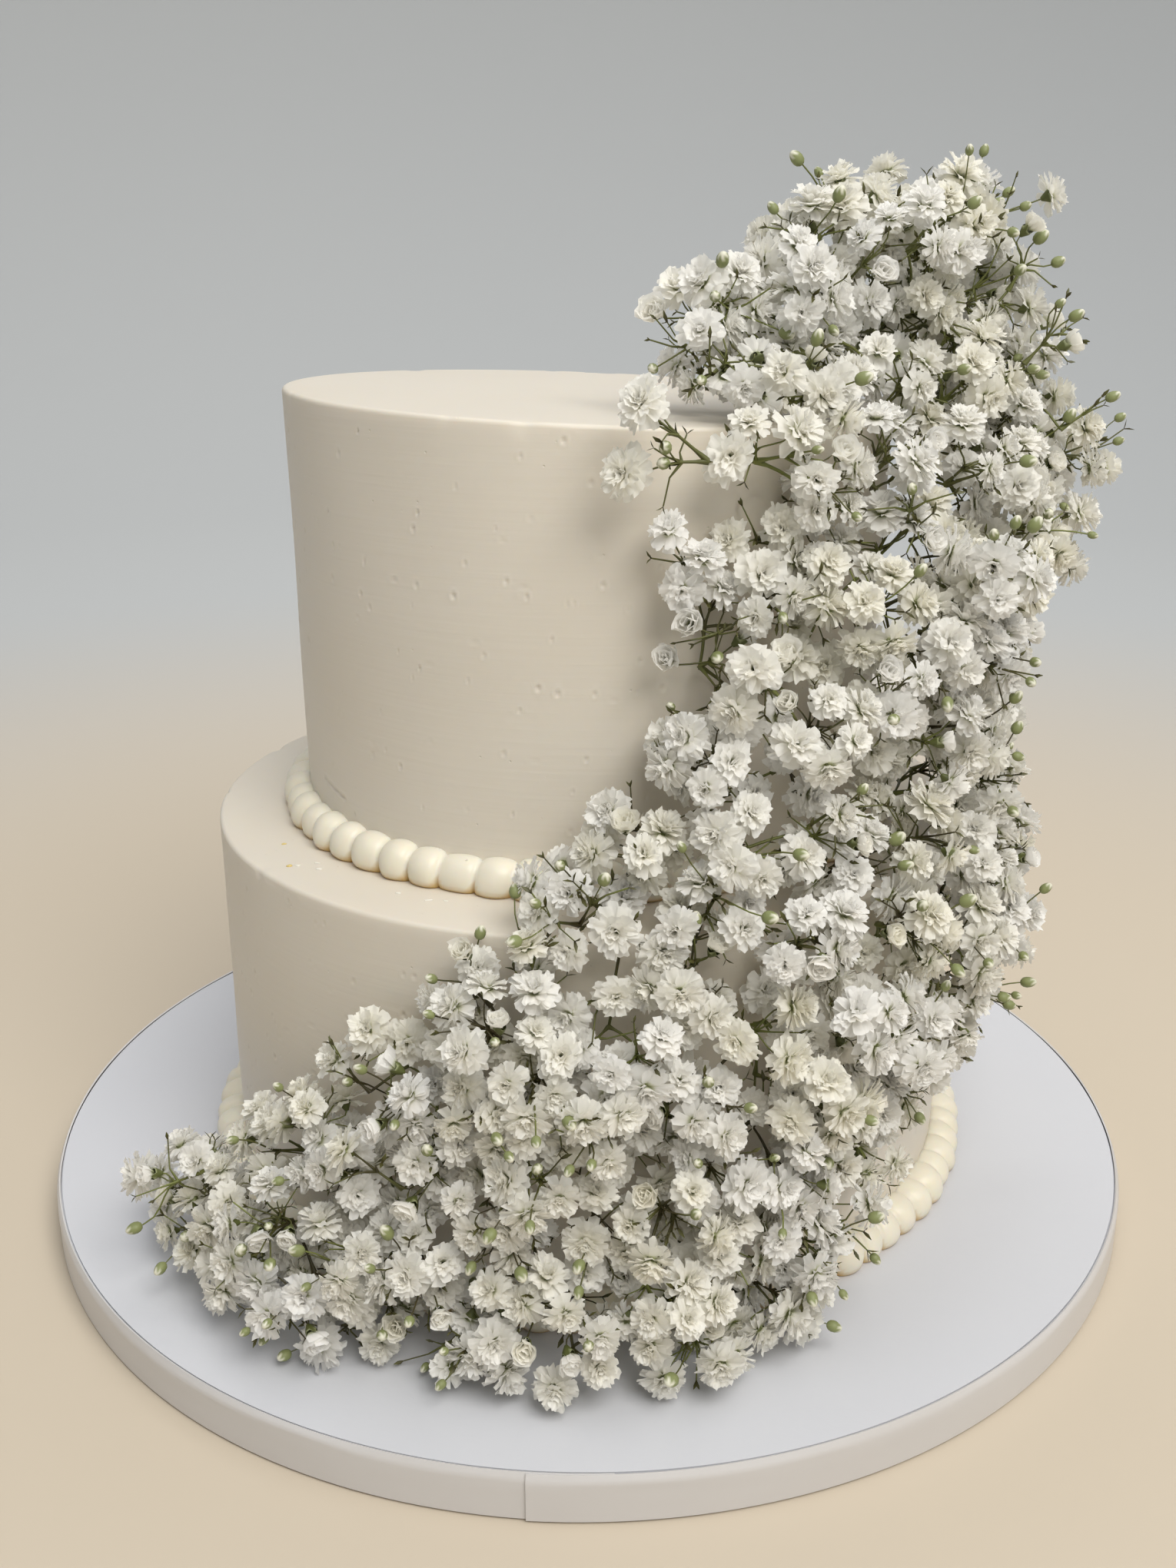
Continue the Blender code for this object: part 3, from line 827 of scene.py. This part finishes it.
# Bunches of flowers grow over the core, an outer layer and a deeper one that shows between them
bunchLayers = [
    {"tries": 9000, "apart": (15.0, 21.0), "lift": (-3.5, 3.5), "members": (3, 6), "clear": 6.0,
     "kinds": ["rosette", "pompom", "frilled", "rosette", "pompom", "frilled", "loose", "loose", "cup"]},
    {"tries": 7000, "apart": (13.0, 17.0), "lift": (-13.0, -7.5), "members": (2, 4), "clear": 5.0,
     "kinds": ["rosette", "frilled", "pompom", "loose", "loose"]},
]
leadingBunches = [  # these stand over the icing where the photographed cascade bulges, in degrees and mm
    (25, 93, 213), (33, 96, 206), (15, 89, 191), (27, 93, 184), (23, 80, 231), (33, 89, 224), (28, 66, 243),
    (18, 89, 168), (42, 76, 246), (-1, 111, 117), (-26, 111, 84),
]
bunchShape = {
    "spread": 9.5 * mm,  # how far its flowers stand from its middle
    "roundness": 15 * mm,  # radius of the dome that its flowers make
    "fan": 0.75,  # how far the outer ones lean away
    "unevenness": 2.2 * mm,
    "bloomGap": 7.3 * mm,  # the least distance between two blooms
    "sprigGap": 7.0 * mm,  # a sprig's flower takes the place of any that stands this near
    "hubDepth": (12 * mm, 17 * mm),
    "scatter": 0.34,
    "upward": 0.16,
    "buds": (0, 3),
    "budGap": 4.6 * mm,
    "budReach": (0.5 * mm, 6.0 * mm),
    "seed": 19,
}
# How wide the shapes of the heads are made, in mm
modelWidths = {"rosette": 12.4, "pompom": 12.2, "frilled": 12.6, "loose": 12.6, "cup": 7.2, "bud": 3.6}
headWidths = {  # least and most, in mm
    "rosette": (9.9, 12.7), "pompom": (9.8, 12.4), "frilled": (9.8, 12.5), "loose": (9.0, 11.8),
    "cup": (5.6, 7.6), "bud": (2.2, 3.5),
}


def newHead(rng, kind, place, direction, hub, tint):
    return {
        "kind": kind, "place": place, "direction": direction.normalized(), "hub": hub, "tint": tint,
        "width": rng.uniform(*headWidths[kind]) * mm, "turn": rng.uniform(0, fullTurn),
        "stretch": rng.uniform(0.9, 1.1),
    }


def isFacingCake(place, normal):  # such a part of the core has no room for flowers
    outward = Vector((place.x, place.y, 0)).normalized()
    return place.z < ledgeHeight * 1.9 and normal.dot(outward) < -0.35


def growBunches(core):
    look, rng = bunchShape, random.Random(bunchShape["seed"])
    faces = list(core.faces)
    areas = [face.calc_area() for face in faces]
    blooms, buds = Spread(12 * mm), Spread(12 * mm)
    heads, hubs = [], []
    for number, layer in enumerate(bunchLayers):
        middles = Spread(30 * mm)
        for place in leadingBunches if number == 0 else []:
            middle = fromAxis(*place)
            normal = Vector((middle.x, middle.y, 0.25 * hypot(middle.x, middle.y))).normalized()
            middles.add(middle)
            hubs.append(middle - normal * 9 * mm)
            growBunch(rng, layer, number, middle, normal, len(hubs) - 1, heads, blooms, buds)
        for face in rng.choices(faces, weights=areas, k=layer["tries"]):
            first, second, third = (vertex.co for vertex in face.verts)
            across, down = rng.random(), rng.random()
            if across + down > 1:
                across, down = 1 - across, 1 - down
            spot = first + (second - first) * across + (third - first) * down
            apart = rng.uniform(*layer["apart"]) * mm
            normal = (face.normal + Vector((0, 0, look["upward"]))).normalized()
            middle = spot + normal * rng.uniform(*layer["lift"]) * mm
            if isFacingCake(spot, face.normal) or inCake(middle, layer["clear"] * mm):
                continue
            if not middles.isClear(middle, apart):
                continue
            middles.add(middle)
            hub = middle - normal * rng.uniform(*look["hubDepth"])
            if inCake(hub, 2 * mm):
                hub = middle - normal * 7 * mm
            hubs.append(hub)
            growBunch(rng, layer, number, middle, normal, len(hubs) - 1, heads, blooms, buds)
    return heads, hubs


def growBunch(rng, layer, number, middle, normal, hub, heads, blooms, buds):
    look = bunchShape
    sideways = normal.orthogonal().normalized()
    around = normal.cross(sideways)
    tint = rng.random() ** 1.4
    left, goes = rng.randint(*layer["members"]), 0
    while left and goes < 40:
        goes += 1
        angle, away = rng.uniform(0, fullTurn), look["spread"] * rng.random() ** 0.5
        aside = (sideways * cos(angle) + around * sin(angle)) * away
        drop = away * away / (2 * look["roundness"])
        place = middle + aside + normal * (rng.uniform(-1, 1) * look["unevenness"] - drop)
        if inCake(place, layer["clear"] * mm) or not blooms.isClear(place, look["bloomGap"]):
            continue
        blooms.add(place)
        buds.add(place)
        turn = Vector([rng.gauss(0, look["scatter"]) for _ in range(3)])
        direction = normal + aside / look["spread"] * look["fan"] + turn
        heads.append(newHead(rng, rng.choice(layer["kinds"]), place, direction, hub, tint))
        left -= 1
    if number:
        return
    for _ in range(rng.randint(*look["buds"])):
        angle, away = rng.uniform(0, fullTurn), look["spread"] * rng.uniform(0.5, 1.3)
        aside = (sideways * cos(angle) + around * sin(angle)) * away
        place = middle + aside + normal * rng.uniform(*look["budReach"])
        if inCake(place, 3 * mm) or not buds.isClear(place, look["budGap"]):
            continue
        buds.add(place)
        heads.append(newHead(rng, "bud", place, normal + aside / look["spread"], hub, tint))


# Sprigs that stand clear of the rest: the fork that carries each, then its flowers and buds, all as
# (azimuth, distance from the cake's axis, height) in degrees and mm
sprigs = [
    ((16, 90, 212), [("frilled", 5, 90, 210), ("bud", 10, 92, 212), ("bud", 10, 93, 215),
        ("rosette", 7, 92, 224)]),
    ((33, 56, 237), [("loose", 24, 50, 245), ("cup", 17, 53, 240), ("bud", 23, 57, 238),
        ("bud", 13, 64, 229)]),
    ((86, 94, 256), [("loose", 87, 94, 270), ("bud", 87, 99, 263), ("bud", 87, 106, 263),
        ("bud", 88, 102, 266), ("loose", 87, 113, 266)]),
    ((80, 103, 244), [("bud", 80, 108, 255), ("bud", 82, 113, 250), ("cup", 78, 106, 258)]),
    ((72, 108, 228), [("bud", 73, 117, 238), ("cup", 76, 117, 232), ("bud", 70, 114, 241)]),
    ((78, 118, 212), [("bud", 79, 128, 219), ("cup", 82, 128, 213)]),
    ((80, 116, 186), [("bud", 84, 126, 184), ("frilled", 79, 124, 178)]),
    ((90, 118, 229), [("bud", 94, 126, 237)]),
    ((86, 124, 203), [("loose", 88, 134, 200), ("bud", 90, 137, 206), ("bud", 89, 136, 212)]),
    ((92, 113, 158), [("cup", 94, 122, 153), ("bud", 95, 122, 162)]),
    ((21, 87, 176), [("cup", 14, 90, 178), ("bud", 18, 90, 171)]),
    ((18, 87, 152), [("bud", 12, 88, 159)]),
    ((-27, 110, 71), [("pompom", -31, 112, 78), ("bud", -28, 114, 75)]),
    ((-11, 110, 98), [("cup", -13.5, 112, 111), ("bud", -17, 112, 104)]),
    ((-25, 122, 22), [("pompom", -27, 133, 18), ("bud", -30, 136, 15), ("frilled", -22, 127, 18)]),
    ((-13, 119, 22), [("bud", -16.5, 127, 15)]),
    ((-2, 122, 26), [("frilled", -3, 134, 19), ("rosette", 1, 133, 24)]),
    ((15, 112, 24), [("frilled", 16.5, 118, 19)]),
    ((80, 110, 84), [("frilled", 84, 120, 78), ("pompom", 80, 121, 70), ("bud", 85, 119, 69)]),
    ((83, 112, 186), [("pompom", 83, 122, 180), ("rosette", 86, 126, 189), ("frilled", 80, 125, 191)]),
    ((85, 116, 202), [("frilled", 84, 128, 201), ("pompom", 88, 127, 208), ("rosette", 80, 124, 212)]),
    ((82, 106, 222), [("rosette", 83, 117, 219), ("pompom", 81, 113, 229), ("cup", 86, 114, 236)]),
    ((78, 98, 238), [("frilled", 80, 108, 240), ("rosette", 84, 106, 249)]),
    ((84, 104, 158), [("pompom", 84, 113, 162), ("frilled", 86, 114, 151), ("rosette", 81, 115, 170)]),
    ((-30, 106, 40), [("pompom", -33, 114, 35), ("frilled", -28, 115, 43)]),
    ((4, 104, 116), [("pompom", 3, 110, 117), ("rosette", -2, 111, 113), ("frilled", 8, 111, 112)]),
    ((3, 106, 102), [("loose", 3, 113, 103), ("pompom", -2, 112, 98)]),
    ((4, 106, 66), [("rosette", 3, 113, 62), ("loose", 8, 113, 56), ("frilled", 6, 113, 70)]),
    ((-46, 128, 44), [("cup", -48, 139, 46), ("frilled", -52, 138, 40), ("bud", -50, 141, 30)]),
    ((12, 90, 130), [("frilled", 3, 92, 137), ("frilled", 2, 92, 131)]),
]


def growSprigs(heads, hubs):
    rng = random.Random(bunchShape["seed"] + 5)
    for forkPlace, members in sprigs:
        fork = fromAxis(*forkPlace)
        places = [(kind, fromAxis(*place)) for kind, *place in members]
        for head in list(heads):
            if any((head["place"] - place).length < bunchShape["sprigGap"] for _, place in places):
                heads.remove(head)
        hubs.append(fork)
        for kind, place in places:
            outward = Vector((place.x, place.y, 0)).normalized()
            way = (place - fork).normalized() * 0.7 + outward * 0.8 + Vector((0, 0, 0.25))
            heads.append(newHead(rng, kind, place, way, len(hubs) - 1, rng.random()))


stemShape = {
    "thin": 0.24 * mm,  # half the thickness of a flower's own stalk
    "branch": 0.42 * mm,
    "knot": 1.8,  # how much a stem swells where it forks
    "bends": 5,
    "sag": (0.1, -0.1, 0.175),  # how a branch bows on its way
    "twigs": 4,  # bare side twigs at each fork
    "twigLength": (4 * mm, 12 * mm),
    "twigSpread": 0.9,
    "seed": 33,
}


def addStem(curve, start, end, startWay, endWay, kind, bends):
    length, radius, knot = (end - start).length, stemShape[kind], stemShape["knot"]
    points = interpolate_bezier(
        start, start + startWay * length * 0.35, end - endWay * length * 0.4, end, bends + 1
    )
    spline = curve.splines.new("POLY")
    spline.points.add(len(points) - 1)
    for index, (point, place) in enumerate(zip(spline.points, points)):
        share = index / (len(points) - 1)
        point.co = (*place, 1.0)
        point.radius = radius / mm * (knot if index == 0 else 1 - 0.25 * share)


def linkHubs(curve, hubs):  # the branches that join the forks, each to the nearest one already joined
    joined, left = [0], set(range(1, len(hubs)))
    nearest = {i: (0, (hubs[i] - hubs[0]).length) for i in left}
    while left:
        pick = min(left, key=lambda i: nearest[i][1])
        source = nearest[pick][0]
        left.remove(pick)
        joined.append(pick)
        way = (hubs[pick] - hubs[source]).normalized()
        sag = Vector(stemShape["sag"])
        leaves, arrives = (way + sag).normalized(), (way - sag).normalized()
        addStem(curve, hubs[source], hubs[pick], leaves, arrives, "branch", stemShape["bends"])
        for i in left:
            away = (hubs[i] - hubs[pick]).length
            if away < nearest[i][1]:
                nearest[i] = (pick, away)


def growStems(heads, hubs):
    curve = bpy.data.curves.new("stems", "CURVE")
    curve.dimensions = "3D"
    curve.bevel_depth = mm
    curve.bevel_resolution = 0
    curve.use_fill_caps = True
    linkHubs(curve, hubs)
    rng = random.Random(stemShape["seed"])
    groups = {}
    for head in heads:
        head["foot"] = head["place"] - head["direction"] * head["back"]
        groups.setdefault(head["hub"], []).append(head)
    forks = []
    for index, members in groups.items():
        hub = hubs[index]
        for first in range(0, len(members), 3):
            bunch = members[first:first + 3]
            middle = sum((head["foot"] for head in bunch), Vector()) / len(bunch)
            fork = hub.lerp(middle, 0.5)
            way = (middle - hub).normalized()
            addStem(curve, hub, fork, way, way, "branch", 2)
            forks.append({"place": fork, "direction": way})
            for head in bunch:
                addStem(curve, fork, head["foot"], way, head["direction"], "thin", stemShape["bends"])
            for _ in range(stemShape["twigs"]):
                turn = Vector([rng.gauss(0, stemShape["twigSpread"]) for _ in range(3)])
                goes = (way + turn).normalized()
                tip = fork + goes * rng.uniform(*stemShape["twigLength"])
                if inCake(tip, 1 * mm):
                    continue
                addStem(curve, fork, tip, way, goes, "thin", 2)
                forks.append({"place": tip, "direction": goes})
    return curve, forks


def scatter(name, shapes, heads, material, replaced):
    bm = bmesh.new()
    for number, head in enumerate(heads):
        copy = shapes[number % len(shapes)].copy()
        size = head["scale"]
        facing = head["direction"].to_track_quat("Z", "Y").to_matrix().to_4x4()
        stretch = Matrix.Diagonal((size * head["stretch"], size / head["stretch"], size, 1.0))
        copy.transform(
            Matrix.Translation(head["place"]) @ facing @ Matrix.Rotation(head["turn"], 4, "Z") @ stretch
        )
        copy.attributes["tint"].data.foreach_set("value", [head["tint"]] * len(copy.vertices))
        bm.from_mesh(copy)
        bpy.data.meshes.remove(copy)
    print(f"{name}: {len(heads)} pieces, {sum(len(face.verts) - 2 for face in bm.faces)} triangles")
    addPiece(name, bm, material, replaced)


def buildCascade():
    core = makeCore(cascade)
    heads, hubs = growBunches(core)
    core.free()
    growSprigs(heads, hubs)
    for head in heads:
        head["scale"] = head["width"] / (modelWidths[head["kind"]] * mm)
        head["back"] = 0.0 if head["kind"] == "bud" else 2.0 * mm
    curve, forks = growStems(heads, hubs)
    petals = makePetals(petalLook)
    for kind in bloomKinds:
        chosen = [head for head in heads if head["kind"] == kind]
        shapes = [makeBloom(kind, bloomKinds[kind], variant) for variant in range(variants)]
        scatter(kind + "_blooms", shapes, chosen, petals, sprays)
    cupGreen = makeGreen("greenFlowerCup", "cupColor", "cupEdgeColor", "pale", greenLook)
    budGreen = makeGreen("greenStripedBud", "budGreenColor", "budColor", "pale", greenLook)
    blooms = [head for head in heads if head["kind"] != "bud"]
    cups = [dict(head, place=head["place"] - head["direction"] * 0.3 * mm, scale=1.0) for head in blooms]
    scatter("flower_cups", [makeCup("cup", cupShape)], cups, cupGreen, sprays)
    buds = [head for head in heads if head["kind"] == "bud"]
    scatter("closed_buds", [makeBud("bud", budShape)], buds, budGreen, sprays)
    rng = random.Random(stemShape["seed"] + 1)
    leaves = [dict(fork, turn=rng.uniform(0, fullTurn), stretch=1.0, tint=0.0, scale=rng.uniform(0.7, 1.3))
              for fork in forks]
    bractGreen = makeGreen("dryStemLeaf", "stemColor", "shootColor", "pale", greenLook)
    scatter("stem_bracts", [makeBract("bract", bractShape)], leaves, bractGreen, sprays)
    wood = makeGreen("darkFlowerStem", "stemColor", "shootColor", "", greenLook)
    curve.materials.append(wood)
    stems = addObject("flower_stems", curve)
    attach(stems, "root")
    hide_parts(*sprays)
    print(f"cascade: {len(heads)} heads on {len(hubs)} hubs and {len(forks)} forks")


buildCascade()


# The set: a pale floor, soft studio light and the camera where the photograph was taken

studio = {
    "floorColor": "#CCBFAB",  # a pale warm table, which fades into a grey backdrop
    "backdropColor": "#BEC0C0",
    "fade": (0.25, 0.85),
    "roughness": 0.7,
    "floorRadius": 1.2,  # flat up to here, then it curves up into a low backdrop
    "backdropRadius": 2.6,
    "backdropHeight": 1.35,
    "skyColors": ("#EFE0CB", "#F3ECE2", "#E9EEF5"),  # on the left, on the right and overhead
    "skyStrength": (0.0, 0.58, 1.25),
    "skyFocus": 4.0,  # how closely the light overhead keeps to straight down
    "keyPower": 13.4,
    "keyPlace": (0.4, -0.8, 1.15),
    "keyAim": (0.0, 0.0, 0.1),
    "lampSize": 0.9,
    "lampColor": "#FFFDF9",
    "backdropPower": 8.0,
    "backdropPlace": (0.0, 0.7, 1.5),
    "backdropAim": (0.0, 2.4, 0.0),
}


def addSoftLight(name, place, aim, size, power, color):
    light = bpy.data.lights.new(name, "AREA")
    light.shape = "DISK"
    light.size = size
    light.energy = power
    light.color = hexColor(color)[:3]
    lamp = addObject(name, light)
    lamp.location = place
    lamp.rotation_euler = (Vector(aim) - Vector(place)).to_track_quat("-Z", "Y").to_euler()


def buildSet(look):
    floor = newMaterial("paleStudioFloor")
    place = addNode(floor, "TexCoord").outputs["Object"]
    away = addNode(floor, "VectorMath", {0: place}, operation="LENGTH").outputs["Value"]
    near, far = look["fade"]
    rise = {"Value": away, "From Min": near, "From Max": far}
    share = addNode(floor, "MapRange", rise, interpolation_type="SMOOTHSTEP").outputs[0]
    tints = {0: share, 6: hexColor(look["floorColor"]), 7: hexColor(look["backdropColor"])}
    color = addNode(floor, "Mix", tints, data_type="RGBA").outputs[2]
    shader = addNode(floor, "BsdfPrincipled", {"Base Color": color, "Roughness": look["roughness"]})
    addNode(floor, "OutputMaterial", {"Surface": shader.outputs[0]})
    flat, wide, high = look["floorRadius"], look["backdropRadius"], look["backdropHeight"]
    points = [(0.0, 0.0), (flat / 2, 0.0), (flat, 0.0)]
    points += [(flat + (wide - flat) * sin(a), high * (1 - cos(a))) for a in between(0, pi / 2, 16)[1:]]
    mesh = finishMesh("studio_floor", turnProfile(points, 96))
    mesh.materials.append(floor)
    mesh.shade_smooth()
    addObject("studio_floor", mesh)

    for part in ("key", "backdrop"):
        place, aim, power = (look[part + name] for name in ("Place", "Aim", "Power"))
        addSoftLight(part + "_light", place, aim, look["lampSize"], power, look["lampColor"])
    world = bpy.data.worlds.new("studio")
    bpy.context.scene.world = world
    world.use_nodes = True
    sky = world.node_tree.nodes["Background"]
    way = addNode(world, "TexCoord").outputs["Generated"]
    axes = addNode(world, "SeparateXYZ", {0: way})
    side = addNode(world, "MapRange", {"Value": axes.outputs["X"], "From Min": -1.0, "From Max": 1.0})
    left, right, top = [
        [c * strength for c in hexColor(code)[:3]] + [1.0]
        for code, strength in zip(look["skyColors"], look["skyStrength"])
    ]
    level = addNode(world, "Mix", {0: side.outputs[0], 6: left, 7: right}, data_type="RGBA")
    height = {0: axes.outputs["Z"], 1: look["skyFocus"]}
    overhead = addNode(world, "Math", height, operation="POWER", use_clamp=True)
    light = {0: overhead.outputs[0], 6: level.outputs[2], 7: top}
    whole = addNode(world, "Mix", light, data_type="RGBA", blend_type="ADD")
    world.node_tree.links.new(whole.outputs[2], sky.inputs["Color"])
    sky.inputs["Strength"].default_value = 1.0
    bpy.context.scene.view_settings.view_transform = "Standard"


photoView = {
    "lens": 35.0,
    "film": 36.0,
    "place": (0.0, -0.405, 0.252),
    "tilt": 19.1,  # degrees down
}


def buildCamera(look):
    camera = addObject("camera", bpy.data.cameras.new("camera"))
    camera.data.lens = look["lens"]
    camera.data.sensor_width = look["film"]
    camera.data.clip_start = 0.02
    camera.location = look["place"]
    camera.rotation_euler = (radians(90 - look["tilt"]), 0, 0)
    bpy.context.scene.camera = camera


buildSet(studio)
buildCamera(photoView)
print("set and camera done")
